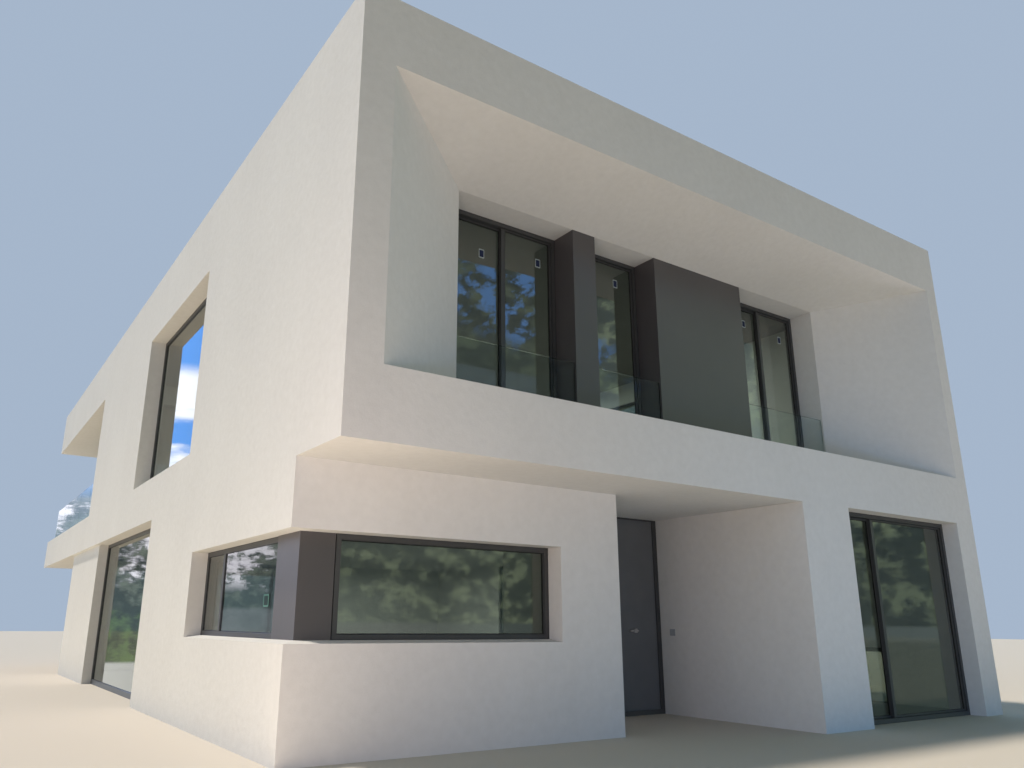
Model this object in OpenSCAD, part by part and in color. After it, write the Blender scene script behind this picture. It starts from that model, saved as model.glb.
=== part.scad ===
// Two-storey detached house with a flat roof: a rendered box set over a smaller
// ground floor, with a splayed balcony recess in its front, a porch, a corner
// window and a deep covered terrace over the rear.
// Millimetres. Front faces -Y, +Z is up, the origin is the middle of the footprint.

/* [Overall] */
// Width of the house across the front
house_w = 10450; // [9000:50:13000]
// Length from the front face to the end of the terrace
house_len = 21200; // [19600:50:25500]
// Thickness of the outer walls
wall_t = 350; // [350:10:420]
// Thickness of the edges round the terrace and the canopy
fascia_t = 220; // [150:10:320]

/* [Storeys] */
// Height of the ground-floor ceiling and of the outer soffits
soffit_z = 2700; // [2200:10:3300]
// Thickness of the ceiling layer under the upper floor
ceiling_t = 200; // [100:10:300]
// Thickness of the upper floor
upper_floor_t = 500; // [300:10:600]
// Thickness of the ground-floor finish
floor_t = 50; // [20:5:100]
// Height of the side windows of the upper floor and of the canopy soffit above it
upper_head_h = 2740; // [2200:10:3000]
// Clear height of the upper floor
upper_clear_h = 3200; // [3120:10:3800]
// Thickness of the roof slab
roof_t = 300; // [200:10:400]
// Height of the parapet above the roof
parapet_h = 400; // [200:10:900]

/* [Front recess] */
// Width of the frame left of the recess
frame_left_w = 370; // [360:10:600]
// Width of the frame right of the recess
frame_right_w = 270; // [250:10:600]
// Height of the recess in the front face, above the sill band
recess_h = 3110; // [2900:10:3110]
// Depth from the front face to the inner end of the splay
splay_depth = 1200; // [900:10:1300]
// Run of the left splay across the front
splay_left_w = 1500; // [900:10:1800]
// Run of the right splay across the front
splay_right_w = 1430; // [900:10:1800]
// Fall of the splayed soffit
splay_drop = 310; // [150:10:400]
// Depth from the splay to the balcony windows
balcony_reveal = 380; // [200:10:500]
// Thickness of the splayed linings
lining_t = 150; // [100:10:200]
// Seam between the upright linings and the soffit over them
seam = 0.5; // [0.2:0.1:2]
// Left edge of the narrow dark pier
narrow_pier_x = 3640; // [3200:10:3700]
// Width of the narrow dark pier
narrow_pier_w = 380; // [300:10:500]
// Left edge of the wide dark pier
wide_pier_x = 5130; // [4800:10:5300]
// Width of the wide dark pier
wide_pier_w = 1830; // [1500:10:2200]

/* [Front ground floor] */
// Depth of the overhang in front of the kitchen wall
overhang = 1000; // [800:10:1300]
// Width of the kitchen wall
kitchen_w = 4030; // [3800:10:4300]
// Width of the porch
porch_w = 2210; // [1900:10:2600]
// Depth from the front face to the entrance door
porch_depth = 2510; // [2200:10:2900]
// Width of the pier between the porch and the tall front window
entrance_pier_w = 975; // [700:5:1200]
// Width of the corner pier at the right
corner_pier_w = 470; // [450:10:700]
// Depth of the tall front window behind the face
front_reveal = 220; // [150:10:230]

/* [Corner window] */
// Height of the sill at the wall face
ribbon_sill_z = 1015; // [900:5:1200]
// Rise of the sill from the wall face to the frame
sill_rise = 25; // [5:5:40]
// Height of the head
ribbon_head_z = 2035; // [1900:5:2250]
// Right end of the front opening
ribbon_right_x = 3160; // [2800:10:3300]
// Rear end of the side opening
ribbon_rear_y = 4390; // [3900:10:4800]
// Depth of the front frame behind the wall face
ribbon_front_reveal = 230; // [150:10:250]
// Depth of the column behind the face of the side wall
ribbon_side_reveal = 180; // [150:10:230]
// Set-back of the side frame behind the column
side_frame_in = 20; // [10:5:30]
// Width of the corner column across the front
column_w = 370; // [300:10:450]
// Length of the corner column along the side
column_len = 590; // [450:10:650]
// Width of the shadow joint between the column and the front frame
joint_w = 6; // [3:1:12]
// Depth of the shadow joint
joint_d = 12; // [6:1:20]
// Height of the foot of the frames
ribbon_foot_h = 55; // [50:5:90]
// Width of the mullion in the side frame
mullion_w = 75; // [60:5:90]
// Share of the rear light in the side frame
rear_share = 0.27; // [0.2:0.01:0.5]
// Depth of the front glass behind the face of its frame
ribbon_front_glass_in = 33; // [12:1:40]
// Depth of the side glass behind the face of its frame
ribbon_side_glass_in = 12; // [8:1:30]

/* [Sides] */
// Rear end of the upper walls
upper_end_y = 13600; // [12500:50:14500]
// Rear end of the ground-floor walls
lower_end_y = 15650; // [15000:50:17000]
// Front edge of the upper side windows
side_win_y = 5060; // [4500:10:5400]
// Width of the upper side windows
side_win_w = 3730; // [3000:10:4200]
// Front edge of the tall side windows
tall_win_y = 7000; // [6600:10:7400]
// Width of the tall side windows
tall_win_w = 5120; // [4000:10:5200]
// Depth of the side windows behind the wall face
side_reveal = 250; // [150:10:250]
// Set-back of the rear pier behind the upper wall
pier_setback = 80; // [40:10:120]
// Front edge of the low window in the right wall
low_win_y = 1400; // [1000:10:1800]
// Width of the low window
low_win_w = 2000; // [1200:10:3000]
// Height of the low window
low_win_h = 880; // [700:10:1100]

/* [Rear] */
// Depth of the lower rear glazing behind the wall face
rear_reveal = 75; // [50:5:110]
// Depth of the upper rear glazing behind the wall face
rear_upper_reveal = 150; // [50:5:230]
// Width of the rear glazing on the ground floor
rear_glass_w = 6200; // [5000:10:7200]
// Width of the rear glazing on the upper floor
rear_upper_glass_w = 6200; // [5000:10:7200]
// Upstand of the terrace edge above the upper floor
terrace_upstand = 40; // [20:5:80]
// Set-back of the glass guard from the terrace edge
guard_inset = 160; // [100:10:200]

/* [Window frames] */
// Visible width of a frame that holds sashes
frame_w = 55; // [40:5:70]
// Visible width of a frame with fixed glass
fixed_w = 60; // [50:5:90]
// Height of the foot of a tall frame with fixed glass
foot_h = 90; // [70:5:120]
// Width of the stiles where two sashes meet
stile_w = 66; // [50:1:80]
// Visible width of a sash beside its frame
edge_w = 22; // [20:1:40]
// Thickness of a sash
sash_d = 42; // [42:1:50]
// Depth of the outer sash behind the face of its frame
sash_back = 20; // [8:1:24]
// Gap between the sashes of two tracks
track_gap = 4; // [2:1:8]
// Width of the shadow gap between a sash and its frame
shadow_w = 8; // [6:1:12]
// Depth of the shadow gap
shadow_d = 16; // [10:1:20]
// Share of the narrow light in the tall front window
narrow_share = 0.32; // [0.25:0.01:0.5]
// Share of the left light in the sliding balcony windows
wide_share = 0.53; // [0.4:0.01:0.6]

/* [Glass] */
// Thickness of a sealed glass unit
glass_t = 24; // [20:1:26]
// Depth of the glass behind the face of a sash
sash_glass_in = 12; // [10:1:14]
// Depth of the glass behind the face of a frame in the side walls
side_glass_in = 24; // [12:1:60]
// Thickness of the bead behind fixed glass
bead_d = 10; // [6:1:14]
// Depth of a glass edge in its groove
glass_bite = 12; // [8:1:15]
// Width of the slope round the glass
glass_slope = 5; // [3:1:10]
// Thickness of the guard glass
guard_t = 20; // [12:1:24]
// Open joint between two sheets of guard glass
guard_joint = 12; // [6:1:20]
// Sheets of guard glass along each side of the terrace
side_sheets = 5; // [3:1:8]
// Sheets of guard glass along the back of the terrace
back_sheets = 7; // [4:1:10]
// Height of the guards above the upper floor
guard_h = 960; // [900:10:1200]
// Distance of the balcony guards behind the end of the splay
guard_back = 30; // [10:5:120]

/* [Entrance door] */
// Width of the door leaf
leaf_w = 1063; // [900:1:1150]
// Thickness of the door leaf
leaf_t = 70; // [50:5:80]
// Width of the door frame
door_frame_w = 60; // [40:5:80]
// Height of the frame head
door_head_h = 15; // [10:5:60]
// Gap round the leaf
leaf_gap = 6; // [5:1:10]
// Gap on the lock side, where the leaf's corner swings
lock_gap = 11; // [10:1:14]
// Gap between the floor and the leaf
foot_gap = 8; // [6:1:12]
// Depth of the door frame
door_frame_d = 100; // [96:1:120]
// Thickness of the stop that the leaf closes behind
stop_t = 12; // [8:1:15]
// Width of the leaf's edge that the stop covers
stop_cover = 4; // [2:1:10]
// Height of the handle
handle_z = 1120; // [950:10:1200]
// Distance from the lock edge of the leaf to the handle
handle_in = 420; // [60:10:600]
// Length of the lever
lever_len = 140; // [110:5:160]
// Height of a hinge
knuckle_h = 110; // [80:2:160]
// Radius of a hinge knuckle
knuckle_r = 8; // [7:1:10]
// Play between the two halves of a hinge, and between the knuckle and the frame
knuckle_gap = 2; // [1:0.5:4]
// Width of a hinge plate
hinge_plate_w = 45; // [30:5:60]
// Thickness of a hinge plate
hinge_plate_t = 4; // [3:0.5:6]

/* [Bell] */
// Side of the square bell plate
bell_w = 90; // [70:5:120]
// Thickness of the bell plate
bell_t = 12; // [8:1:20]
// Height of the middle of the bell plate
bell_z = 1100; // [900:10:1500]
// Distance from the door frame to the bell plate
bell_in = 180; // [100:10:400]

/* [Hidden] */

render_white = [0.90, 0.88, 0.85];
panel_grey = [0.24, 0.23, 0.25];
frame_grey = [0.17, 0.18, 0.19];
glass_green = [0.45, 0.55, 0.50, 0.4];
door_grey = [0.30, 0.31, 0.33];
steel_grey = [0.65, 0.66, 0.68];

cut = 50;
upper_z = soffit_z + ceiling_t + upper_floor_t;
head_z = upper_z + upper_head_h;
recess_top_z = upper_z + recess_h;
roof_z = upper_z + upper_clear_h;
house_h = roof_z + roof_t + parapet_h;
inner_left_x = frame_left_w + splay_left_w;
inner_right_x = house_w - frame_right_w - splay_right_w;
inner_head_z = recess_top_z - splay_drop;
balcony_win_y = splay_depth + balcony_reveal;
slope = splay_drop / splay_depth;
porch_right_x = kitchen_w + porch_w;
tall_x = porch_right_x + entrance_pier_w;
tall_w = house_w - corner_pier_w - tall_x;
wall_in = house_w - wall_t;
side_win_end = side_win_y + side_win_w;
tall_win_end = tall_win_y + tall_win_w;
low_win_end = low_win_y + low_win_w;
door_x = porch_right_x - 2 * door_frame_w - leaf_w - leaf_gap - lock_gap;
leaf_x = door_x + door_frame_w + leaf_gap;
leaf_y = porch_depth + stop_t + leaf_gap;
leaf_z = floor_t + foot_gap;
leaf_h = soffit_z - door_head_h - leaf_gap - leaf_z;
hinge_x = leaf_x - leaf_gap;
hinge_y = porch_depth + door_frame_d + knuckle_r + knuckle_gap;
hinge_shares = [0.12, 0.5, 0.88];
terrace_z = upper_z + terrace_upstand;
guard_top = upper_z + guard_h;
handle_x = leaf_x + leaf_w - handle_in;
ribbon_base_z = ribbon_sill_z + sill_rise;
ribbon_h = ribbon_head_z - ribbon_base_z;
ribbon_x = ribbon_side_reveal + column_w;
ribbon_w = ribbon_right_x - ribbon_x;
ribbon_y = overhang + ribbon_front_reveal;
ribbon_len = ribbon_rear_y - ribbon_y - column_len;
upper_h = head_z - upper_z;
balcony_h = inner_head_z - upper_z;
rail_w = shadow_w + edge_w;
track_pitch = sash_d + track_gap;

// A window is given as it is seen from outside: the lower left corner of its frame, its turn,
// its width and height, the height of the frame's foot, its lights, and the depth of the glass
// behind the face of what holds it. A light has its share of the width and its track; one
// without a track has its glass fixed in the frame itself.
at = 0;
turn = 1;
size = 2;
foot = 3;
lights = 4;
bed = 5;
share = 0;
track = 1;
fixed = [[1]];
fixed_pair = [[rear_share], [1 - rear_share]];
single = [[1, 0]];
sliding = [[wide_share, 1], [1 - wide_share, 0]];
narrow_left = [[narrow_share, 1], [1 - narrow_share, 0]];
four_part = [[0.25, 1], [0.25, 0], [0.25, 0], [0.25, 1]];

function is_fixed(row) = len(row[0]) == 1;

// Depth of a frame: the bed of fixed glass, or one or two tracks
function frame_depth(row, glass_in) = is_fixed(row)
    ? glass_in + glass_t + bead_d
    : sash_back + (1 + max([for (light = row) light[track]])) * track_pitch;

fixed_d = frame_depth(fixed, side_glass_in);
sliding_d = frame_depth(sliding, sash_glass_in);
lining_end = 20;
lining_back_y = balcony_win_y + sliding_d + lining_end;
narrow_pier_end = narrow_pier_x + narrow_pier_w;
wide_pier_end = wide_pier_x + wide_pier_w;
balcony_spans = [
    [inner_left_x, narrow_pier_x, sliding],
    [narrow_pier_end, wide_pier_x, single],
    [wide_pier_end, inner_right_x, sliding]
];
corner_windows = [
    [[ribbon_x, ribbon_y, ribbon_base_z], 0, [ribbon_w, ribbon_h], ribbon_foot_h,
     fixed, ribbon_front_glass_in],
    [[ribbon_side_reveal + side_frame_in, ribbon_rear_y, ribbon_base_z], -90, [ribbon_len, ribbon_h],
     ribbon_foot_h, fixed_pair, ribbon_side_glass_in]
];
balcony_windows = [
    for (span = balcony_spans)
        [[span[0], balcony_win_y, upper_z], 0, [span[1] - span[0], balcony_h], frame_w,
         span[2], sash_glass_in]
];
tall_front_windows = [
    [[tall_x, front_reveal, 0], 0, [tall_w, soffit_z], frame_w, narrow_left, sash_glass_in]
];
left_windows = [
    [[side_reveal, side_win_end, upper_z], -90, [side_win_w, upper_h], foot_h, fixed, side_glass_in],
    [[side_reveal, tall_win_end, 0], -90, [tall_win_w, soffit_z], foot_h, fixed, side_glass_in]
];
right_windows = [
    [[house_w - side_reveal, side_win_y, upper_z], 90, [side_win_w, upper_h], foot_h, fixed, side_glass_in],
    [[house_w - side_reveal, tall_win_y, 0], 90, [tall_win_w, soffit_z], foot_h, fixed, side_glass_in],
    [[house_w - side_reveal, low_win_y, 0], 90, [low_win_w, low_win_h], fixed_w, fixed, side_glass_in]
];
rear_windows = [
    [[wall_t + rear_glass_w, lower_end_y - rear_reveal, 0], 180,
     [rear_glass_w - pier_setback, soffit_z], frame_w, four_part, sash_glass_in],
    [[2 * wall_t + rear_upper_glass_w, upper_end_y - rear_upper_reveal, upper_z], 180,
     [rear_upper_glass_w, upper_h], frame_w, four_part, sash_glass_in]
];

// Puts a piece, drawn from the front left corner, on the middle of the footprint
module placed() {
    translate([-house_w / 2, -house_len / 2, 0]) children();
}

// A plain block from its lowest to its highest corner
module block(lo, hi) {
    translate(lo) cube(hi - lo);
}

// A flat plate from corner to corner
module plate(lo, hi) {
    translate(lo) square(hi - lo);
}

// Window joinery, each part drawn as seen from outside with its face at y = 0

// Width of the frame's own face beside its lights
function rim(win) = is_fixed(win[lights]) ? fixed_w : frame_w;

// What lies between a light's edge and its glass, at the frame or where two lights meet
function margin(win, meeting) = is_fixed(win[lights])
    ? (meeting ? mullion_w / 2 : 0)
    : (meeting ? stile_w : rail_w);

// Share of the width before a light, and the overlap of two sashes that pass each other
function share_before(row, n) = n < 1 ? 0 : row[n - 1][share] + share_before(row, n - 1);
function lap(row, n) = n < 1 || n >= len(row) ? 0 : row[n - 1][track] == row[n][track] ? 0 : stile_w / 2;
function light_edge(win, n) = rim(win) + (win[size][0] - 2 * rim(win)) * share_before(win[lights], n);

// Stands a part of a window in its place in the wall
module stand(win) {
    translate(win[at]) rotate([0, 0, win[turn]]) children();
}

// Puts each light on its track, and gives the children its two sides, the shadow gaps at them
// and the corners of its clear opening
module each_light(win) {
    row = win[lights];
    for (n = [0 : len(row) - 1]) {
        last = len(row) - 1;
        $start = light_edge(win, n) - lap(row, n);
        $end = light_edge(win, n + 1) + lap(row, n + 1);
        $start_gap = n > 0 ? 0 : shadow_w;
        $end_gap = n < last ? 0 : shadow_w;
        $lo = [$start + margin(win, n > 0), win[foot] + margin(win, false)];
        $hi = [$end - margin(win, n < last), win[size][1] - rim(win) - margin(win, false)];
        track_y = is_fixed(row) ? 0 : sash_back + row[n][track] * track_pitch;
        translate([0, track_y, 0]) children();
    }
}

// A sealed unit whose edges stand in the grooves round its opening
module pane(lo, hi, glass_in) {
    translate([lo[0] - glass_bite, glass_in, lo[1] - glass_bite])
        cube([hi[0] - lo[0] + 2 * glass_bite, glass_t, hi[1] - lo[1] + 2 * glass_bite]);
}

// Outline of the hole for a unit from side to side: it slopes in to the glass, then runs straight
module hole_outline(first, second, glass_in, d) {
    polygon([
        [first - glass_slope, -cut],
        [first - glass_slope, 0],
        [first, glass_in],
        [first, d + cut],
        [second, d + cut],
        [second, glass_in],
        [second + glass_slope, 0],
        [second + glass_slope, -cut]
    ]);
}

module pane_cutter(lo, hi, glass_in, d) {
    intersection() {
        translate([0, 0, lo[1] - cut])
            linear_extrude(hi[1] - lo[1] + 2 * cut) hole_outline(lo[0], hi[0], glass_in, d);
        translate([hi[0] + cut, 0, 0]) rotate([0, -90, 0])
            linear_extrude(hi[0] - lo[0] + 2 * cut) hole_outline(lo[1], hi[1], glass_in, d);
    }
    pane(lo, hi, glass_in);
}

// A sash whose outer edge is stepped back, which leaves a shadow gap beside the frame
module sash(low, high) {
    difference() {
        union() {
            block([$start, shadow_d, low], [$end, sash_d, high]);
            block([$start + $start_gap, 0, low + shadow_w], [$end - $end_gap, sash_d, high - shadow_w]);
        }
        pane_cutter($lo, $hi, sash_glass_in, sash_d);
    }
}

module window_frame(win) {
    w = win[size][0];
    h = win[size][1];
    d = frame_depth(win[lights], win[bed]);
    if (is_fixed(win[lights])) {
        difference() {
            cube([w, d, h]);
            each_light(win) pane_cutter($lo, $hi, win[bed], d);
        }
    } else {
        difference() {
            cube([w, d, h]);
            block([frame_w, -cut, win[foot]], [w - frame_w, d + cut, h - frame_w]);
        }
        each_light(win) sash(win[foot], h - frame_w);
    }
}

module window_panes(win) {
    each_light(win) pane($lo, $hi, win[bed]);
}

module frames(windows) {
    color(frame_grey) placed() for (win = windows) stand(win) window_frame(win);
}

module panes(windows) {
    color(glass_green) placed() for (win = windows) stand(win) window_panes(win);
}

// Ground floor

module ground_floor() {
    // Tongues run out to the frames of the windows that stand on the ground
    tongue = 100;
    right_x = house_w - side_reveal;
    color(panel_grey) placed() linear_extrude(floor_t) union() {
        // Kitchen, hall behind the door, front room and the main room behind them
        plate([wall_t, overhang + wall_t], [kitchen_w - wall_t, porch_depth + wall_t]);
        plate([door_x, porch_depth + door_frame_d], [porch_right_x, porch_depth + wall_t]);
        plate([porch_right_x + wall_t, wall_t], [wall_in, porch_depth + wall_t]);
        plate([pier_setback + wall_t, porch_depth + wall_t], [wall_in, lower_end_y - wall_t]);
        plate([wall_t, porch_depth + wall_t], [pier_setback + wall_t, tall_win_end]);
        plate([tall_x, front_reveal + sliding_d], [tall_x + tall_w, wall_t + tongue]);
        plate([side_reveal + fixed_d, tall_win_y], [wall_t + tongue, tall_win_end]);
        plate([wall_in - tongue, tall_win_y], [right_x - fixed_d, tall_win_end]);
        plate([wall_in - tongue, low_win_y], [right_x - fixed_d, low_win_end]);
        plate([pier_setback + wall_t, lower_end_y - wall_t - tongue],
              [wall_t + rear_glass_w, lower_end_y - rear_reveal - sliding_d]);
    }
}

// The opening of the corner window through one wall, with a sill that rises to the frame
module ribbon_cutter(len, reveal) {
    rotate([90, 0, 90]) linear_extrude(len) polygon([
        [-cut, 0],
        [0, 0],
        [reveal, sill_rise],
        [wall_t + cut, sill_rise],
        [wall_t + cut, ribbon_head_z - ribbon_sill_z],
        [-cut, ribbon_head_z - ribbon_sill_z]
    ]);
}

module side_ribbon_cutter() {
    translate([0, ribbon_rear_y, ribbon_sill_z]) rotate([0, 0, -90])
        ribbon_cutter(ribbon_rear_y - overhang + cut, ribbon_side_reveal);
}

module kitchen_front_wall() {
    color(render_white) placed() difference() {
        block([0, overhang, 0], [kitchen_w, overhang + wall_t, soffit_z]);
        translate([-cut, overhang, ribbon_sill_z]) ribbon_cutter(ribbon_right_x + cut, ribbon_front_reveal);
        side_ribbon_cutter();
    }
}

module left_lower_wall() {
    color(render_white) placed() difference() {
        block([0, overhang + wall_t, 0], [wall_t, tall_win_y, soffit_z]);
        side_ribbon_cutter();
    }
}

module left_rear_pier() {
    color(render_white) placed()
        block([pier_setback, tall_win_end, 0], [pier_setback + wall_t, lower_end_y, soffit_z]);
}

module porch_left_wall() {
    color(render_white) placed()
        block([kitchen_w - wall_t, overhang + wall_t, 0], [kitchen_w, porch_depth + wall_t, soffit_z]);
}

module porch_back_wall() {
    color(render_white) placed()
        block([kitchen_w, porch_depth, 0], [door_x, porch_depth + wall_t, soffit_z]);
}

module porch_right_wall() {
    color(render_white) placed()
        block([porch_right_x, wall_t, 0], [porch_right_x + wall_t, porch_depth + wall_t, soffit_z]);
}

module entrance_pier() {
    color(render_white) placed() block([porch_right_x, 0, 0], [tall_x, wall_t, soffit_z]);
}

module right_corner_pier() {
    color(render_white) placed() block([house_w - corner_pier_w, 0, 0], [house_w, wall_t, soffit_z]);
}

module right_lower_wall() {
    color(render_white) placed() difference() {
        block([wall_in, wall_t, 0], [house_w, lower_end_y, soffit_z]);
        block([wall_in - cut, low_win_y, -cut], [house_w + cut, low_win_end, low_win_h]);
        block([wall_in - cut, tall_win_y, -cut], [house_w + cut, tall_win_end, soffit_z + cut]);
    }
}

module rear_lower_wall() {
    color(render_white) placed()
        block([wall_t + rear_glass_w, lower_end_y - wall_t, 0], [wall_in, lower_end_y, soffit_z]);
}

module floor_soffit() {
    color(render_white) placed()
        block([wall_t, wall_t, soffit_z], [wall_in, house_len - fascia_t, soffit_z + ceiling_t]);
}

// Upper floor

module upper_floor() {
    color(panel_grey) placed()
        block([wall_t, wall_t, soffit_z + ceiling_t], [wall_in, house_len - fascia_t, upper_z]);
}

module terrace_edge() {
    color(render_white) placed() difference() {
        block([0, upper_end_y, soffit_z], [house_w, house_len, terrace_z]);
        block([wall_t, upper_end_y - cut, soffit_z - cut], [wall_in, house_len - fascia_t, terrace_z + cut]);
    }
}

module left_upper_wall() {
    color(render_white) placed() difference() {
        block([0, 0, soffit_z], [wall_t, upper_end_y, house_h]);
        splay_cutter();
        block([-cut, side_win_y, upper_z], [wall_t + cut, side_win_end, head_z]);
    }
}

module right_upper_wall() {
    color(render_white) placed() difference() {
        block([wall_in, 0, soffit_z], [house_w, upper_end_y, house_h]);
        splay_cutter();
        block([wall_in - cut, side_win_y, upper_z], [house_w + cut, side_win_end, head_z]);
    }
}

module front_sill_band() {
    color(render_white) placed() block([wall_t, 0, soffit_z], [wall_in, wall_t, upper_z]);
}

// The space of the recess: splayed at the sides and the head, then straight to the windows
module splay_cutter() {
    intersection() {
        translate([0, 0, upper_z]) linear_extrude(house_h) polygon([
            [frame_left_w, 0],
            [frame_left_w, -cut],
            [house_w - frame_right_w, -cut],
            [house_w - frame_right_w, 0],
            [inner_right_x, splay_depth],
            [inner_right_x, lining_back_y + cut],
            [inner_left_x, lining_back_y + cut],
            [inner_left_x, splay_depth]
        ]);
        rotate([90, 0, 90]) linear_extrude(house_w) polygon([
            [-cut, soffit_z],
            [lining_back_y + cut, soffit_z],
            [lining_back_y + cut, inner_head_z],
            [splay_depth, inner_head_z],
            [0, recess_top_z],
            [-cut, recess_top_z]
        ]);
    }
}

module front_top_band() {
    color(render_white) placed() rotate([90, 0, 90]) translate([0, 0, wall_t])
        linear_extrude(wall_in - wall_t) polygon([
            [0, recess_top_z],
            [wall_t, recess_top_z - slope * wall_t],
            [wall_t, house_h],
            [0, house_h]
        ]);
}

// The space above the splayed soffit, which the upright linings stop against
module above_soffit() {
    rotate([90, 0, 90]) translate([0, 0, -cut]) linear_extrude(house_w + 2 * cut) polygon([
        [-cut, recess_top_z + slope * cut - seam],
        [splay_depth, inner_head_z - seam],
        [lining_back_y + cut, inner_head_z - seam],
        [lining_back_y + cut, house_h],
        [-cut, house_h]
    ]);
}

// One upright lining of the recess, drawn from the outer face of its side wall
module splay_lining(frame_side_w, splay_w) {
    inner_x = frame_side_w + splay_w;
    rise = splay_depth / splay_w;
    back_y = lining_t * norm([1, rise]);
    difference() {
        translate([0, 0, upper_z]) linear_extrude(roof_z - upper_z) polygon([
            [0, 0],
            [frame_side_w, 0],
            [inner_x, splay_depth],
            [inner_x, lining_back_y],
            [inner_x - lining_t, lining_back_y],
            [inner_x - lining_t, splay_depth + back_y - lining_t * rise],
            [wall_t, back_y + (wall_t - frame_side_w) * rise],
            [0, back_y + (wall_t - frame_side_w) * rise]
        ]);
        above_soffit();
        block([-cut, -cut, soffit_z], [wall_t, lining_back_y, house_h]);
    }
}

module left_splay() {
    color(render_white) placed() splay_lining(frame_left_w, splay_left_w);
}

module right_splay() {
    color(render_white) placed()
        translate([house_w, 0, 0]) mirror([1, 0, 0]) splay_lining(frame_right_w, splay_right_w);
}

module splayed_soffit() {
    color(render_white) placed() rotate([90, 0, 90]) translate([0, 0, wall_t])
        linear_extrude(wall_in - wall_t) polygon([
            [wall_t, recess_top_z - slope * wall_t],
            [splay_depth, inner_head_z],
            [lining_back_y, inner_head_z],
            [lining_back_y, roof_z],
            [lining_back_y - lining_t, roof_z],
            [lining_back_y - lining_t, inner_head_z + lining_t],
            [splay_depth, inner_head_z + lining_t],
            [wall_t, recess_top_z - slope * wall_t + lining_t]
        ]);
}

module narrow_pier() {
    color(panel_grey) placed()
        block([narrow_pier_x, splay_depth, upper_z], [narrow_pier_end, lining_back_y, inner_head_z]);
}

module wide_pier() {
    color(panel_grey) placed()
        block([wide_pier_x, splay_depth, upper_z], [wide_pier_end, lining_back_y, inner_head_z]);
}

module rear_upper_wall() {
    color(render_white) placed() difference() {
        block([wall_t, upper_end_y - wall_t, upper_z], [wall_in, upper_end_y, roof_z]);
        block([2 * wall_t, upper_end_y - wall_t - cut, upper_z - cut],
              [2 * wall_t + rear_upper_glass_w, upper_end_y + cut, head_z]);
    }
}

// Roof and canopy

module roof_slab() {
    color(panel_grey) placed()
        block([wall_t, wall_t, roof_z], [wall_in, house_len - fascia_t, roof_z + roof_t]);
}

module canopy_edge() {
    color(render_white) placed() difference() {
        block([0, upper_end_y, head_z], [house_w, house_len, house_h]);
        block([wall_t, upper_end_y - cut, head_z - cut], [wall_in, house_len - fascia_t, house_h + cut]);
    }
}

module canopy_soffit() {
    color(render_white) placed()
        block([wall_t, upper_end_y, head_z], [wall_in, house_len - fascia_t, head_z + lining_t]);
}

// Dark cladding and windows

module corner_column() {
    column_end_x = ribbon_side_reveal + column_w;
    column_end_y = ribbon_y + column_len;
    color(panel_grey) placed() difference() {
        block([ribbon_side_reveal, ribbon_y, ribbon_base_z], [column_end_x, column_end_y, ribbon_head_z]);
        // Shadow joint beside the front frame
        block([column_end_x - joint_w, ribbon_y - cut, ribbon_base_z - cut],
              [column_end_x + cut, ribbon_y + joint_d, ribbon_head_z + cut]);
    }
}

module corner_window_frame() {
    frames(corner_windows);
}

module balcony_window_frames() {
    frames(balcony_windows);
}

module tall_front_frame() {
    frames(tall_front_windows);
}

module left_window_frames() {
    frames(left_windows);
}

module right_window_frames() {
    frames(right_windows);
}

module rear_window_frames() {
    frames(rear_windows);
}

// Whether a window stands on the ground floor
function is_lower(win) = win[at][2] < soffit_z;

every_window = concat(corner_windows, balcony_windows, tall_front_windows,
                      left_windows, right_windows, rear_windows);

module lower_glass() {
    panes([for (win = every_window) if (is_lower(win)) win]);
}

module upper_glass() {
    panes([for (win = every_window) if (!is_lower(win)) win]);
}

module balcony_guards() {
    guard_y = splay_depth + guard_back;
    color(glass_green) placed()
        for (span = balcony_spans)
            block([span[0], guard_y, upper_z], [span[1], guard_y + guard_t, guard_top]);
}

// Sheets of guard glass along a line, with open joints between them
module guard_run(len, sheets) {
    sheet = (len - (sheets - 1) * guard_joint) / sheets;
    for (i = [0 : sheets - 1])
        translate([i * (sheet + guard_joint), 0, 0]) cube([sheet, guard_t, guard_top - terrace_z]);
}

module terrace_guard() {
    side_len = house_len - guard_inset - guard_t - guard_joint - upper_end_y - guard_joint;
    back_len = house_w - 2 * guard_inset;
    color(glass_green) placed() translate([0, 0, terrace_z]) {
        for (x = [guard_inset + guard_t, house_w - guard_inset])
            translate([x, upper_end_y + guard_joint, 0]) rotate([0, 0, 90]) guard_run(side_len, side_sheets);
        translate([guard_inset, house_len - guard_inset - guard_t, 0]) guard_run(back_len, back_sheets);
    }
}

// Entrance door

module door_frame() {
    frame_end_y = porch_depth + door_frame_d;
    color(frame_grey) placed() difference() {
        block([door_x, porch_depth, 0], [porch_right_x, frame_end_y, soffit_z]);
        // Clear opening inside the stop
        block([leaf_x + stop_cover, porch_depth - cut, leaf_z + stop_cover],
              [leaf_x + leaf_w - stop_cover, frame_end_y, leaf_z + leaf_h - stop_cover]);
        // Rebate behind the stop, where the leaf swings
        block([door_x + door_frame_w, porch_depth + stop_t, floor_t],
              [porch_right_x - door_frame_w, frame_end_y + cut, soffit_z - door_head_h]);
    }
}

module door_leaf() {
    color(door_grey) placed()
        block([leaf_x, leaf_y, leaf_z], [leaf_x + leaf_w, leaf_y + leaf_t, leaf_z + leaf_h]);
}

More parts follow.
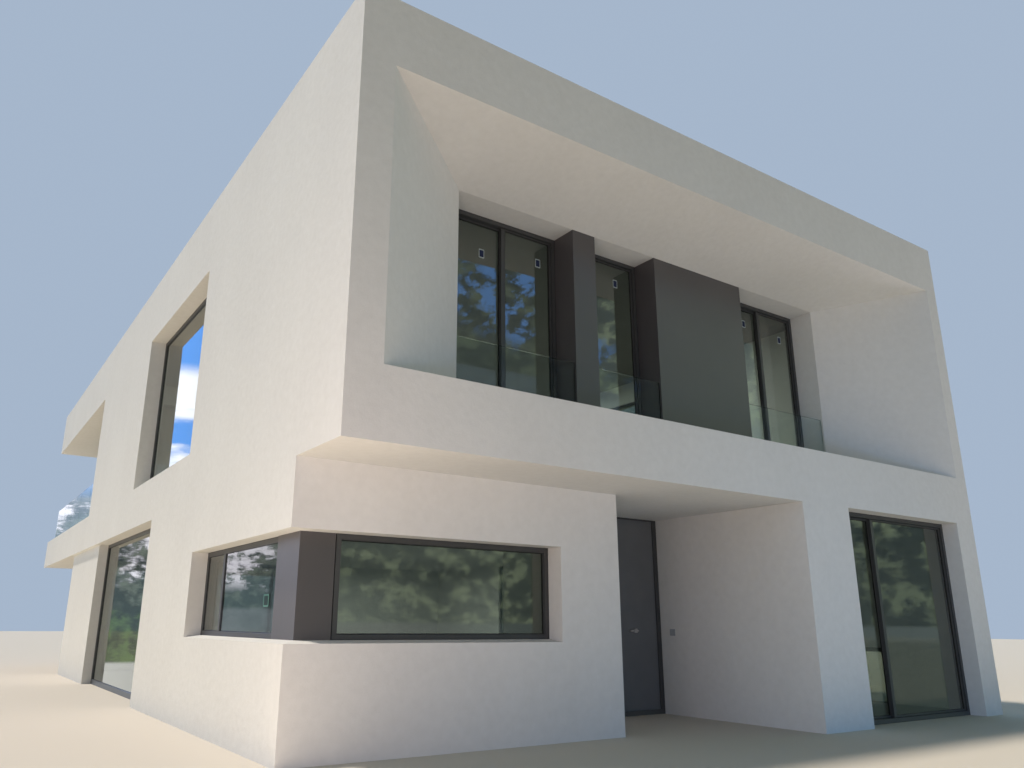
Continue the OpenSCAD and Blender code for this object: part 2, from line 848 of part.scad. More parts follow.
// A square rose with softened corners, a round neck and a flat lever that points to the hinges,
// drawn with the door's face at y = 0
module lever_set() {
    rose_w = 56;
    rose_t = 12;
    corner_r = 36;
    neck_r = 10;
    neck_len = 34;
    lever_t = 10;
    rotate([90, 0, 0]) {
        intersection() {
            translate([-rose_w / 2, -rose_w / 2, 0]) cube([rose_w, rose_w, rose_t]);
            cylinder(h = rose_t, r = corner_r, $fn = 64);
        }
        cylinder(h = rose_t + neck_len + lever_t, r = neck_r, $fn = 32);
        translate([-lever_len, 0, rose_t + neck_len]) {
            translate([0, -neck_r, 0]) cube([lever_len, 2 * neck_r, lever_t]);
            cylinder(h = lever_t, r = neck_r, $fn = 32);
        }
    }
}

module door_handle() {
    color(steel_grey) placed() {
        translate([handle_x, leaf_y, handle_z]) lever_set();
        translate([handle_x, leaf_y + leaf_t, handle_z]) mirror([0, 1, 0]) lever_set();
    }
}

// One half of each hinge: a knuckle on the turning axis, joined by a web to its plate
module hinge_halves(low, webs) {
    half_h = (knuckle_h - knuckle_gap) / 2;
    color(steel_grey) placed() for (share = hinge_shares)
        translate([hinge_x, hinge_y, leaf_z + leaf_h * share - knuckle_h / 2 + low]) {
            cylinder(h = half_h, r = knuckle_r, $fn = 32);
            for (web = webs)
                block([web[0][0], web[0][1], 0], [web[1][0], web[1][1], half_h]);
        }
}

// The lower halves, on the inner face of the frame
module door_hinges() {
    frame_face = -knuckle_r - knuckle_gap;
    hinge_halves(0, [
        [[-knuckle_r, frame_face], [0, 0]],
        [[-hinge_plate_w, frame_face], [0, frame_face + hinge_plate_t]]
    ]);
}

// The upper halves, on the inner face of the leaf
module leaf_hinges() {
    leaf_face = leaf_y + leaf_t - hinge_y;
    web_x = leaf_gap + 1;
    hinge_halves((knuckle_h + knuckle_gap) / 2, [
        [[0, -hinge_plate_t], [web_x + hinge_plate_t, 0]],
        [[web_x, leaf_face], [web_x + hinge_plate_t, 0]],
        [[web_x, leaf_face], [web_x + hinge_plate_w, leaf_face + hinge_plate_t]]
    ]);
}

module bell_plate() {
    plate_y = porch_depth - bell_in - bell_w;
    color(steel_grey) placed()
        block([porch_right_x - bell_t, plate_y, bell_z - bell_w / 2],
              [porch_right_x, plate_y + bell_w, bell_z + bell_w / 2]);
}

ground_floor();
kitchen_front_wall();
left_lower_wall();
left_rear_pier();
porch_left_wall();
porch_back_wall();
porch_right_wall();
entrance_pier();
right_corner_pier();
right_lower_wall();
rear_lower_wall();
floor_soffit();
upper_floor();
terrace_edge();
left_upper_wall();
right_upper_wall();
front_sill_band();
front_top_band();
left_splay();
right_splay();
splayed_soffit();
narrow_pier();
wide_pier();
rear_upper_wall();
roof_slab();
canopy_edge();
canopy_soffit();
corner_column();
corner_window_frame();
balcony_window_frames();
tall_front_frame();
left_window_frames();
right_window_frames();
rear_window_frames();
lower_glass();
upper_glass();
balcony_guards();
terrace_guard();
door_frame();
door_leaf();
door_handle();
door_hinges();
leaf_hinges();
bell_plate();
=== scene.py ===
import math
import bmesh
import bpy
import numpy as np
from mathutils import Matrix, Vector


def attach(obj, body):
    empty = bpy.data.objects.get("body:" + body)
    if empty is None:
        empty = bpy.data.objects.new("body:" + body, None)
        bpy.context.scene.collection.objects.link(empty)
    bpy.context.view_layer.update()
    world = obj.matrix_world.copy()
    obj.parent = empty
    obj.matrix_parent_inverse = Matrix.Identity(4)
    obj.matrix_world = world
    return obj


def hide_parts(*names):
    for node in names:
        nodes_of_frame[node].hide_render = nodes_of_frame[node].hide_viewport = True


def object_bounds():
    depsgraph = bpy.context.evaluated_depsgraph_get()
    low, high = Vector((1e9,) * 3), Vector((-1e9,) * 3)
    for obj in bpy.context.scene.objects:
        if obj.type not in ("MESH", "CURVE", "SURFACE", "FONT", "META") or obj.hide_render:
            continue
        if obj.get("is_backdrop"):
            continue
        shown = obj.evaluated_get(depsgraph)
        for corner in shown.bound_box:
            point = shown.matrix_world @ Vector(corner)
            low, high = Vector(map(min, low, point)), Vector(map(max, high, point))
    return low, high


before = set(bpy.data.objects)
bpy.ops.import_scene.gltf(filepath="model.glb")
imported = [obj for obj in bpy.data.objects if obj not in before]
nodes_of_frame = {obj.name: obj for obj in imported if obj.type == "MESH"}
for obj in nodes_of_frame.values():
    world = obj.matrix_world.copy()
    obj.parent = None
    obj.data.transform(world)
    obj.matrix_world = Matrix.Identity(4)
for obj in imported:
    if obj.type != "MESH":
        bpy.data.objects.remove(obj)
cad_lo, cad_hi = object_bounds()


# Rendered walls, soffits, linings and edges.
# Insulated masonry under a floated off-white mineral render, 2 to 3 mm thick with a sand grain,
# carried round every outer corner and into the window reveals.
render_white = (0.75, 0.742, 0.725, 1.0)
render_shade = (0.71, 0.70, 0.685, 1.0)
grain_size, grain_deep = 0.006, 0.0012
float_mark_size, float_mark_deep, float_mark_strength = 0.09, 0.0035, 0.10
wave_size, wave_deep = 1.4, 0.012
streak_size, streak_stretch, streak_strength = 0.5, 0.12, 0.04


def new_finish(name):
    """A material with one Principled shader; gives back the material, its node tree and the shader."""
    material = bpy.data.materials.new(name)
    material.use_nodes = True
    tree = material.node_tree
    shader = next(n for n in tree.nodes if n.type == "BSDF_PRINCIPLED")
    return material, tree, shader


def wire(tree, start, end):
    """Joins an output socket to an input socket."""
    tree.links.new(start, end)


def feed(tree, socket, value):
    """Wires an output to a socket, or sets the socket's own value to a number or colour."""
    if hasattr(value, "is_output"):
        wire(tree, value, socket)
    else:
        socket.default_value = value


def noise_group():
    """Shader group of two noises on object coordinates: marks of a given size, and a finer grain.

    The noise scale is one over the size in metres. Shade runs from 0 to 1 about 0.5, and Relief is the
    same noise with a finer one of a sixth of its size added at a quarter of its strength.
    """
    group = bpy.data.node_groups.new("marks_and_grain", "ShaderNodeTree")
    for label, value in (("Size", 0.1), ("Stretch", 1.0), ("Contrast", 1.0)):
        socket = group.interface.new_socket(label, in_out="INPUT", socket_type="NodeSocketFloat")
        socket.default_value = value
    for label in ("Shade", "Relief"):
        group.interface.new_socket(label, in_out="OUTPUT", socket_type="NodeSocketFloat")
    inside = group.nodes.new("NodeGroupInput")
    outside = group.nodes.new("NodeGroupOutput")
    place = group.nodes.new("ShaderNodeTexCoord")
    rate = group.nodes.new("ShaderNodeMath")
    rate.operation = "DIVIDE"
    rate.inputs[0].default_value = 1.0
    wire(group, inside.outputs["Size"], rate.inputs[1])
    squeeze = group.nodes.new("ShaderNodeCombineXYZ")
    squeeze.inputs["X"].default_value = 1.0
    squeeze.inputs["Y"].default_value = 1.0
    wire(group, inside.outputs["Stretch"], squeeze.inputs["Z"])
    spread = group.nodes.new("ShaderNodeVectorMath")
    spread.operation = "MULTIPLY"
    wire(group, place.outputs["Object"], spread.inputs[0])
    wire(group, squeeze.outputs["Vector"], spread.inputs[1])
    broad = group.nodes.new("ShaderNodeTexNoise")
    broad.inputs["Detail"].default_value = 3.0
    wire(group, spread.outputs["Vector"], broad.inputs["Vector"])
    wire(group, rate.outputs["Value"], broad.inputs["Scale"])
    faster = group.nodes.new("ShaderNodeMath")
    faster.operation = "MULTIPLY"
    faster.inputs[1].default_value = 6.0
    wire(group, rate.outputs["Value"], faster.inputs[0])
    fine = group.nodes.new("ShaderNodeTexNoise")
    fine.inputs["Detail"].default_value = 2.0
    wire(group, spread.outputs["Vector"], fine.inputs["Vector"])
    wire(group, faster.outputs["Value"], fine.inputs["Scale"])
    middle = group.nodes.new("ShaderNodeMath")
    middle.operation = "SUBTRACT"
    middle.inputs[1].default_value = 0.5
    wire(group, broad.outputs["Fac"], middle.inputs[0])
    stronger = group.nodes.new("ShaderNodeMath")
    stronger.operation = "MULTIPLY_ADD"
    stronger.use_clamp = True
    stronger.inputs[2].default_value = 0.5
    wire(group, middle.outputs["Value"], stronger.inputs[0])
    wire(group, inside.outputs["Contrast"], stronger.inputs[1])
    wire(group, stronger.outputs["Value"], outside.inputs["Shade"])
    relief = group.nodes.new("ShaderNodeMath")
    relief.operation = "MULTIPLY_ADD"
    relief.inputs[1].default_value = 0.25
    wire(group, fine.outputs["Fac"], relief.inputs[0])
    wire(group, broad.outputs["Fac"], relief.inputs[2])
    wire(group, relief.outputs["Value"], outside.inputs["Relief"])
    return group


marks = noise_group()


def add_marks(tree, size, contrast=1.0, stretch=1.0):
    """Places the marks group in a material, with its own size, contrast and stretch along Z."""
    node = tree.nodes.new("ShaderNodeGroup")
    node.node_tree = marks
    node.inputs["Size"].default_value = size
    node.inputs["Contrast"].default_value = contrast
    node.inputs["Stretch"].default_value = stretch
    return node


def blend_colours(tree, factor, first, second, mode="MIX"):
    """A colour that goes from first to second as the factor goes from 0 to 1."""
    node = tree.nodes.new("ShaderNodeMix")
    node.data_type = "RGBA"
    node.blend_type = mode
    for label, value in (("Factor", factor), ("A", first), ("B", second)):
        feed(tree, node.inputs[label], value)
    return node.outputs["Result"]


def roughen(tree, shader, reliefs):
    """Chains bumps, each (height socket, depth in metres), into the shader's normal."""
    last = None
    for height, depth in reliefs:
        bump = tree.nodes.new("ShaderNodeBump")
        bump.inputs["Strength"].default_value = 1.0
        bump.inputs["Distance"].default_value = depth
        wire(tree, height, bump.inputs["Height"])
        if last is not None:
            wire(tree, last, bump.inputs["Normal"])
        last = bump.outputs["Normal"]
    wire(tree, last, shader.inputs["Normal"])


def dress(names, material):
    """Gives CAD nodes a material in place of the one they came with."""
    for name in names:
        mesh = nodes_of_frame[name].data
        mesh.materials.clear()
        mesh.materials.append(material)


render_coat, tree, shader = new_finish("floated_render")
waves = add_marks(tree, wave_size, 1.6)
floats = add_marks(tree, float_mark_size, 2.0)
streaks = add_marks(tree, streak_size, 2.0, streak_stretch)
grain = add_marks(tree, grain_size, 2.0)
patches = blend_colours(tree, waves.outputs["Shade"], render_shade, render_white)
streaked = blend_colours(tree, streak_strength, patches, streaks.outputs["Shade"], "SOFT_LIGHT")
floated = blend_colours(tree, float_mark_strength, streaked, floats.outputs["Shade"], "SOFT_LIGHT")
wire(tree, floated, shader.inputs["Base Color"])
shader.inputs["Roughness"].default_value = 0.92
shader.inputs["Specular IOR Level"].default_value = 0.08
roughen(tree, shader, ((waves.outputs["Relief"], wave_deep),
                       (floats.outputs["Relief"], float_mark_deep),
                       (grain.outputs["Relief"], grain_deep)))
dress(("kitchen_front_wall", "left_lower_wall", "left_rear_pier", "porch_left_wall", "porch_back_wall",
       "porch_right_wall", "entrance_pier", "right_corner_pier", "right_lower_wall", "rear_lower_wall",
       "floor_soffit", "terrace_edge", "left_upper_wall", "right_upper_wall", "front_sill_band",
       "front_top_band", "left_splay", "right_splay", "splayed_soffit", "rear_upper_wall", "canopy_edge",
       "canopy_soffit"), render_coat)


# Floors and the roof slab.
# Concrete slabs cast in place, finished with a grey mineral screed that is floated smooth. The roof slab
# is covered by the roof sheet further down.
screed_grey = (0.21, 0.205, 0.20, 1.0)
screed_light = (0.26, 0.255, 0.25, 1.0)


def clouded_finish(name, first, second, size, contrast, rough,
                   relief=0.0, stretch=1.0, gloss=0.5, metal=0.0):
    """A finish that clouds between two colours in marks of a size, with a relief, both in metres."""
    material, tree, shader = new_finish(name)
    cloud = add_marks(tree, size, contrast, stretch)
    wire(tree, blend_colours(tree, cloud.outputs["Shade"], first, second), shader.inputs["Base Color"])
    shader.inputs["Roughness"].default_value = rough
    shader.inputs["Specular IOR Level"].default_value = gloss
    shader.inputs["Metallic"].default_value = metal
    if relief:
        roughen(tree, shader, ((cloud.outputs["Relief"], relief),))
    return material


screed = clouded_finish("floor_screed", screed_grey, screed_light, size=0.7, contrast=2.0,
                        rough=0.6, relief=0.002)
dress(("ground_floor", "upper_floor", "roof_slab"), screed)


# Dark piers of the recess and the corner column of the long window.
# Flat-cut composite panels with a smooth, slightly purple dark grey lacquer, bonded to a hidden rail.
panel_dark = (0.072, 0.065, 0.070, 1.0)
panel_lit = (0.085, 0.076, 0.081, 1.0)
cladding = clouded_finish("lacquered_panel", panel_dark, panel_lit, size=0.9, contrast=2.0,
                          rough=0.38, relief=0.004, gloss=0.75)
dress(("narrow_pier", "wide_pier", "corner_column"), cladding)


# Window and door frames.
# Thermally broken aluminium profiles, powder-coated anthracite with a fine dry grain.
frame_dark = (0.052, 0.053, 0.056, 1.0)
frame_lit = (0.064, 0.065, 0.068, 1.0)
frame_coat = clouded_finish("anthracite_powder_coat", frame_dark, frame_lit, size=0.004, contrast=2.0,
                            rough=0.42, relief=0.0003)
dress(("corner_window_frame", "balcony_window_frames", "tall_front_frame", "left_window_frames",
       "right_window_frames", "rear_window_frames", "door_frame"), frame_coat)


# Sealant joints round the frames.
# A dark bead of elastic sealant closes the gap between each frame and the render of its reveal,
# run with a gun and drawn off a millimetre proud of the frame's face.
rubber_black = (0.010, 0.010, 0.011, 1.0)
rubber_worn = (0.018, 0.018, 0.019, 1.0)
joint_wide, joint_deep, joint_proud = 0.006, 0.002, 0.001


def solids_of(name):
    """Low and high corner of each separate solid of a CAD node.

    Corners at the same spot are one. The lowest label spreads over each triangle until nothing changes.
    """
    mesh = nodes_of_frame[name].data
    spots = np.empty(len(mesh.vertices) * 3)
    mesh.vertices.foreach_get("co", spots)
    turns = np.empty(len(mesh.loops), dtype=np.int64)
    mesh.loops.foreach_get("vertex_index", turns)
    places, which = np.unique(np.round(spots.reshape(-1, 3), 5), axis=0, return_inverse=True)
    triangles = which.reshape(-1)[turns].reshape(-1, 3)
    label = np.arange(len(places))
    before = None
    while before is None or (before != label).any():
        before = label.copy()
        np.minimum.at(label, triangles.reshape(-1), np.repeat(before[triangles].min(axis=1), 3))
    return [(places[label == k].min(axis=0), places[label == k].max(axis=0)) for k in np.unique(label)]


def grid_faces(rows, columns, ring_rows, ring_columns):
    """Four-sided faces of a grid of points; a ring joins its last row or column to its first."""
    last_row, last_column = rows - (not ring_rows), columns - (not ring_columns)
    i, j = np.meshgrid(np.arange(last_row), np.arange(last_column), indexing="ij")
    i, j = i.reshape(-1), j.reshape(-1)
    down, over = (i + 1) % rows, (j + 1) % columns
    return np.stack([i * columns + j, down * columns + j, down * columns + over, i * columns + over], axis=1)


def round_rectangle(lo, hi, axis, face, side, profile, ring=True):
    """A profile carried round a rectangle with mitred corners.

    Each profile point is (inward, outward): every corner moves inward by the first along both of the
    rectangle's directions, and off the face by the second along the axis, towards the given side.
    """
    across = [k for k in range(3) if k != axis]
    corners = np.array([[0, 0], [1, 0], [1, 1], [0, 1]])
    bounds = np.array([lo, hi])[:, across]
    spots = np.stack([bounds[corners[:, 0], 0], bounds[corners[:, 1], 1]], axis=1)
    profile = np.array(profile, dtype=float)
    points = np.empty((len(corners), len(profile), 3))
    points[:, :, across] = spots[:, None] + profile[None, :, :1] * (1 - 2 * corners)[:, None]
    points[:, :, axis] = face + side * profile[None, :, 1]
    return points.reshape(-1, 3), grid_faces(len(corners), len(profile), ring_rows=True, ring_columns=ring)


def join_shapes(shapes):
    """Stacks shapes, each (points, faces), into one."""
    starts = np.cumsum([0] + [len(points) for points, faces in shapes])
    return (np.vstack([points for points, faces in shapes]),
            np.vstack([faces + start for (points, faces), start in zip(shapes, starts)]))


def new_piece(name, shape, finishes, finish_of_face=None, smooth=False):
    """An object made from a shape, doubles merged and faces turned outwards, that rides on the house."""
    mesh = bpy.data.meshes.new(name)
    mesh.from_pydata(shape[0].tolist(), [], shape[1].tolist())
    for finish in finishes:
        mesh.materials.append(finish)
    if finish_of_face is not None:
        mesh.polygons.foreach_set("material_index", np.asarray(finish_of_face, dtype=np.int32))
    work_mesh = bmesh.new()
    work_mesh.from_mesh(mesh)
    bmesh.ops.remove_doubles(work_mesh, verts=work_mesh.verts, dist=0.00001)
    bmesh.ops.recalc_face_normals(work_mesh, faces=work_mesh.faces)
    work_mesh.to_mesh(mesh)
    work_mesh.free()
    mesh.polygons.foreach_set("use_smooth", np.full(len(mesh.polygons), smooth))
    piece = bpy.data.objects.new(name, mesh)
    bpy.context.scene.collection.objects.link(piece)
    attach(piece, "house")
    return piece


rubber = clouded_finish("black_rubber", rubber_black, rubber_worn, size=0.05, contrast=2.0,
                        rough=0.7, relief=0.0002)
joint_profile = ((0.0, -joint_deep), (joint_wide, -joint_deep), (joint_wide, 0.0),
                 (joint_wide / 2, joint_proud), (0.0, 0.0))
joints = []
for node in ("corner_window_frame", "balcony_window_frames", "tall_front_frame", "left_window_frames",
             "right_window_frames", "rear_window_frames"):
    for lo, hi in solids_of(node):
        axis = int(np.argmin((hi - lo)[:2]))
        side = 1.0 if (lo + hi)[axis] > 0.0 else -1.0
        face = hi[axis] if side > 0.0 else lo[axis]
        joints.append(round_rectangle(lo, hi, axis, face, side, joint_profile))
new_piece("sealant_joints", join_shapes(joints), (rubber,))


# Glass units.
# Sealed units of coated sun-control glass, pressed into the frames from inside.
pane_tint = (0.40, 0.45, 0.40, 1.0)
pane_index = 1.62
roll_size, roll_deep = 0.6, 0.0003
roll_rough_least, roll_rough_more = 0.008, 0.02
clearest_share = 0.97


def work(tree, operation, first, second):
    """One step of arithmetic on sockets or numbers."""
    node = tree.nodes.new("ShaderNodeMath")
    node.operation = operation
    for socket, value in zip(node.inputs, (first, second)):
        feed(tree, socket, value)
    return node.outputs["Value"]


def clear_glass(name, tint, index):
    """Glass of one tint with a slight roller wave, in which the tint clouds down to its clearest share.

    A lamp's ray passes it straight, dimmed by the tint.
    """
    material, tree, shader = new_finish(name)
    rolls = add_marks(tree, roll_size, 1.5)
    clearer = tuple(1.0 - clearest_share * (1.0 - part) for part in tint)
    wire(tree, blend_colours(tree, rolls.outputs["Shade"], tint, clearer), shader.inputs["Base Color"])
    rough = work(tree, "MULTIPLY", rolls.outputs["Shade"], roll_rough_more)
    wire(tree, work(tree, "ADD", rough, roll_rough_least), shader.inputs["Roughness"])
    roughen(tree, shader, ((rolls.outputs["Relief"], roll_deep),))
    shader.inputs["IOR"].default_value = index
    shader.inputs["Transmission Weight"].default_value = 1.0
    ray = tree.nodes.new("ShaderNodeLightPath")
    straight = tree.nodes.new("ShaderNodeBsdfTransparent")
    straight.inputs["Color"].default_value = tint
    choice = tree.nodes.new("ShaderNodeMixShader")
    wire(tree, ray.outputs["Is Shadow Ray"], choice.inputs["Fac"])
    wire(tree, shader.outputs["BSDF"], choice.inputs[1])
    wire(tree, straight.outputs["BSDF"], choice.inputs[2])
    end = next(n for n in tree.nodes if n.type == "OUTPUT_MATERIAL")
    wire(tree, choice.outputs["Shader"], end.inputs["Surface"])
    return material


pane_glass = clear_glass("coated_pane", pane_tint, pane_index)
dress(("lower_glass", "upper_glass"), pane_glass)


# Glazing gaskets.
# Black rubber profiles pressed between each pane and its frame, mitred at the corners, inside and out.
# As with the sheets further down, their underside is sunk a millimetre into what they lie on.
glass_bite = 0.012
sunk = 0.001
gasket_profile = ((-0.003, -sunk), (0.0055, -sunk), (0.0050, 0.0012),
                  (0.0035, 0.0030), (0.0012, 0.0040), (-0.003, 0.0042))
gaskets = []
for node in ("lower_glass", "upper_glass"):
    for lo, hi in solids_of(node):
        axis = int(np.argmin(hi - lo))
        seen_lo, seen_hi = lo + glass_bite, hi - glass_bite
        for face, side in ((hi[axis], 1.0), (lo[axis], -1.0)):
            gaskets.append(round_rectangle(seen_lo, seen_hi, axis, face, side, gasket_profile))
new_piece("glazing_gaskets", join_shapes(gaskets), (rubber,), smooth=True)


# Squares left on the panes.
# Plain paper squares with a pale rim and a dark blue middle, stuck on the new glass. The one low on the
# left side is wider, with a green rim and a dark green middle.
square_pale = (0.38, 0.43, 0.44, 1.0)
square_blue = (0.020, 0.030, 0.075, 1.0)
side_rim = (0.13, 0.27, 0.23, 1.0)
side_middle = (0.030, 0.055, 0.050, 1.0)
square_half = np.array([0.042, 0.062])
square_middle = 0.76
paper_thick = 0.0005
fade_size, fade_strength = 0.03, 0.2
front_squares = ((-2.719, -8.942, 5.726), (-1.852, -8.988, 5.802), (-0.465, -8.988, 5.856),
                 (2.379, -8.942, 5.886), (3.204, -8.988, 5.760))
side_square = (-5.013, -8.464, 1.411)
side_square_half = np.array([0.080, 0.062])


def soft_square(middle, half, lift, faced=1, power=10.0, steps=32):
    """A thin sheet with rounded corners, facing against the axis with the given number.

    The outline point at angle t is (half width times sign and power 2/n of cos t, half height times the
    same of sin t). It is carried from the middle to the rim, over the rim and back to the middle behind.
    """
    t = np.linspace(0.0, 2 * np.pi, steps, endpoint=False)
    turned = np.stack([np.cos(t), np.sin(t)], axis=1)
    ring = np.sign(turned) * np.abs(turned) ** (2.0 / power) * half
    reach = np.array([0.0, 1.0, 1.0, 0.0])
    depth = np.array([lift + paper_thick, lift + paper_thick, lift, lift])
    points = np.empty((len(reach), steps, 3))
    points[:, :, 1 - faced] = middle[1 - faced] + reach[:, None] * ring[None, :, 0]
    points[:, :, faced] = middle[faced] - depth[:, None]
    points[:, :, 2] = middle[2] + reach[:, None] * ring[None, :, 1]
    return points.reshape(-1, 3), grid_faces(len(reach), steps, ring_rows=False, ring_columns=True)


square_finishes = []
for name, colour in (("square_rim", square_pale), ("square_middle", square_blue),
                     ("side_square_rim", side_rim), ("side_square_middle", side_middle)):
    paper, tree, shader = new_finish(name)
    fade = add_marks(tree, fade_size, 2.0)
    faded = blend_colours(tree, fade_strength, colour, fade.outputs["Shade"], "SOFT_LIGHT")
    wire(tree, faded, shader.inputs["Base Color"])
    shader.inputs["Roughness"].default_value = 0.6
    shader.inputs["Specular IOR Level"].default_value = 0.1
    square_finishes.append(paper)
rims = [soft_square(place, square_half, lift=0.0) for place in front_squares]
middles = [soft_square(place, square_half * square_middle, lift=paper_thick) for place in front_squares]
new_piece("pane_square_rims", join_shapes(rims), square_finishes[:1])
new_piece("pane_square_middles", join_shapes(middles), square_finishes[1:2])
side_shapes = [soft_square(side_square, side_square_half, lift=0.0, faced=0),
               soft_square(side_square, side_square_half * square_middle, lift=paper_thick, faced=0)]
rim_or_middle = [k for k, shape in enumerate(side_shapes) for face in shape[1]]
new_piece("side_pane_square", join_shapes(side_shapes), square_finishes[2:], rim_or_middle)


# Glass guards.
# Laminated clear sheets with ground and polished edges, which show greener and brighter than the faces.
guard_tint = (0.92, 0.97, 0.95, 1.0)
edge_tint = (0.62, 0.80, 0.72, 1.0)
guard_index, edge_index = 1.12, 1.3
arris = 0.0015
guard_glass = clear_glass("guard_sheet", guard_tint, guard_index)
polished_edge = clear_glass("polished_glass_edge", edge_tint, edge_index)
dress(("balcony_guards", "terrace_guard"), guard_glass)


def polished_sheet(lo, hi):
    """A sheet whose edges are carried round it: face, arris, edge, arris and face, closed by two faces."""
    axis = int(np.argmin(hi - lo))
    thick = hi[axis] - lo[axis]
    profile = ((arris, 0.0), (0.0, arris), (0.0, thick - arris), (arris, thick))
    points, faces = round_rectangle(lo, hi, axis, lo[axis], side=1.0, profile=profile, ring=False)
    lids = np.array([[0, 4, 8, 12], [3, 15, 11, 7]])
    return points, np.vstack([faces, lids])


for node in ("balcony_guards", "terrace_guard"):
    sheets = [polished_sheet(lo, hi) for lo, hi in solids_of(node)]
    edge_faces = len(sheets[0][1]) - 2
    edge_or_face = np.tile([1] * edge_faces + [0, 0], len(sheets))
    polished = new_piece("polished_" + node, join_shapes(sheets), (guard_glass, polished_edge),
                         edge_or_face)
    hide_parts(node)


# Shoes of the guards.
# Anodised aluminium channels screwed down along the edge, with a rubber lip on each side of the glass.
anodised = (0.40, 0.41, 0.42, 1.0)
anodised_dull = (0.32, 0.33, 0.34, 1.0)
shoe_out, shoe_slot, shoe_high, shoe_round = 0.034, 0.011, 0.060, 0.004
alloy = clouded_finish("anodised_alloy", anodised_dull, anodised, size=0.03, contrast=2.0,
                       rough=0.38, relief=0.0002, stretch=8.0, metal=1.0)


def carry_along(path, profile):
    """A profile of (outward, up) points carried along a level path with mitred corners and closed ends.

    At an inner point of the path the two sides' normals are added and divided by one plus their product,
    which gives the mitre. The ends are closed by folding the profile onto its middle.
    """
    path, profile = np.array(path, dtype=float), np.array(profile, dtype=float)
    runs = np.diff(path[:, :2], axis=0)
    runs /= np.linalg.norm(runs, axis=1, keepdims=True)
    sides = np.stack([runs[:, 1], -runs[:, 0]], axis=1)
    first, second = np.vstack([sides[:1], sides]), np.vstack([sides, sides[-1:]])
    mitre = (first + second) / (1.0 + (first * second).sum(axis=1, keepdims=True))
    points = np.empty((len(path), len(profile), 3))
    points[:, :, :2] = path[:, None, :2] + profile[None, :, :1] * mitre[:, None]
    points[:, :, 2] = path[:, None, 2] + profile[None, :, 1]
    closed = np.concatenate([points[:1].mean(axis=1, keepdims=True).repeat(len(profile), axis=1), points,
                             points[-1:].mean(axis=1, keepdims=True).repeat(len(profile), axis=1)])
    return closed.reshape(-1, 3), grid_faces(len(closed), len(profile), ring_rows=False, ring_columns=True)


def foot_line(boxes, corners):
    """Middle line of a guard's foot, through the named corners of the boxes that hold its sheets."""
    lo = np.min([low for low, high in boxes], axis=0)
    hi = np.max([high for low, high in boxes], axis=0)
    half = min((high - low).min() for low, high in boxes) / 2
    inner = np.array([[lo[0] + half, lo[1] + half], [hi[0] - half, hi[1] - half]])
    return [(inner[i, 0], inner[j, 1], lo[2]) for i, j in corners]


cheek = ((shoe_slot, 0.0), (shoe_out, 0.0), (shoe_out, shoe_high - shoe_round),
         (shoe_out - shoe_round, shoe_high), (shoe_slot, shoe_high))
lip = ((shoe_slot - 0.0005, shoe_high - 0.010), (shoe_slot + 0.004, shoe_high),
       (shoe_slot + 0.003, shoe_high + 0.003), (shoe_slot - 0.0005, shoe_high + 0.004))
far_cheek = tuple((-out, up) for out, up in cheek)
far_lip = tuple((-out, up) for out, up in lip)
foot_lines = [foot_line(solids_of("terrace_guard"), ((0, 0), (0, 1), (1, 1), (1, 0)))]
foot_lines += [foot_line([box], ((0, 0), (1, 0))) for box in solids_of("balcony_guards")]
shoes = [carry_along(line, profile) for line in foot_lines for profile in (cheek, far_cheek)]
lips = [carry_along(line, profile) for line in foot_lines for profile in (lip, far_lip)]
new_piece("guard_shoes", join_shapes(shoes), (alloy,))
new_piece("guard_lips", join_shapes(lips), (rubber,))


# Paving of the rear terrace.
# Square stoneware slabs with eased edges, 15 mm thick, laid with open joints on the waterproofed floor.
slab_aim, slab_joint, slab_thick, slab_ease = 0.60, 0.004, 0.015, 0.0015
paving_lo = np.array([-4.865, 3.012, 3.400])
paving_hi = np.array([4.865, 10.368, 3.400])
stoneware_dark = (0.36, 0.35, 0.33, 1.0)
stoneware_pale = (0.46, 0.45, 0.43, 1.0)


def lay_slabs(lo, hi):
    """Equal slabs over a rectangle: the points of one slab are repeated at each step both ways."""
    count = np.round((hi - lo)[:2] / slab_aim).astype(int)
    step = (hi - lo)[:2] / count
    size = step - slab_joint
    profile = ((0.0, 0.0), (0.0, slab_thick - slab_ease), (slab_ease, slab_thick))
    points, faces = round_rectangle(np.zeros(3), np.array([*size, 0.0]), axis=2, face=0.0, side=1.0,
                                    profile=profile, ring=False)
    faces = np.vstack([faces, [[0, 9, 6, 3], [2, 5, 8, 11]]])
    i, j = np.meshgrid(np.arange(count[0]), np.arange(count[1]), indexing="ij")
    starts = np.stack([i.reshape(-1) * step[0], j.reshape(-1) * step[1], np.zeros(i.size)], axis=1) + lo
    spots = (starts[:, None] + points[None]).reshape(-1, 3)
    return spots, (np.arange(i.size)[:, None, None] * len(points) + faces[None]).reshape(-1, 4)


def speckled_finish(name, first, second, clouds, specks, strength, rough, gloss=0.12):
    """A dull finish of clouds with specks over them, each given as (size, contrast, relief)."""
    material, tree, shader = new_finish(name)
    cloud, speck = (add_marks(tree, size, contrast) for size, contrast, relief in (clouds, specks))
    base = blend_colours(tree, cloud.outputs["Shade"], first, second)
    speckled = blend_colours(tree, strength, base, speck.outputs["Shade"], "SOFT_LIGHT")
    wire(tree, speckled, shader.inputs["Base Color"])
    shader.inputs["Roughness"].default_value = rough
    shader.inputs["Specular IOR Level"].default_value = gloss
    roughen(tree, shader, ((cloud.outputs["Relief"], clouds[2]), (speck.outputs["Relief"], specks[2])))
    return material


stoneware = speckled_finish("stoneware_slab", stoneware_dark, stoneware_pale,
                            clouds=(0.35, 1.6, 0.0008), specks=(0.006, 2.5, 0.0003),
                            strength=0.25, rough=0.75)
new_piece("terrace_paving", lay_slabs(paving_lo, paving_hi), (stoneware,))


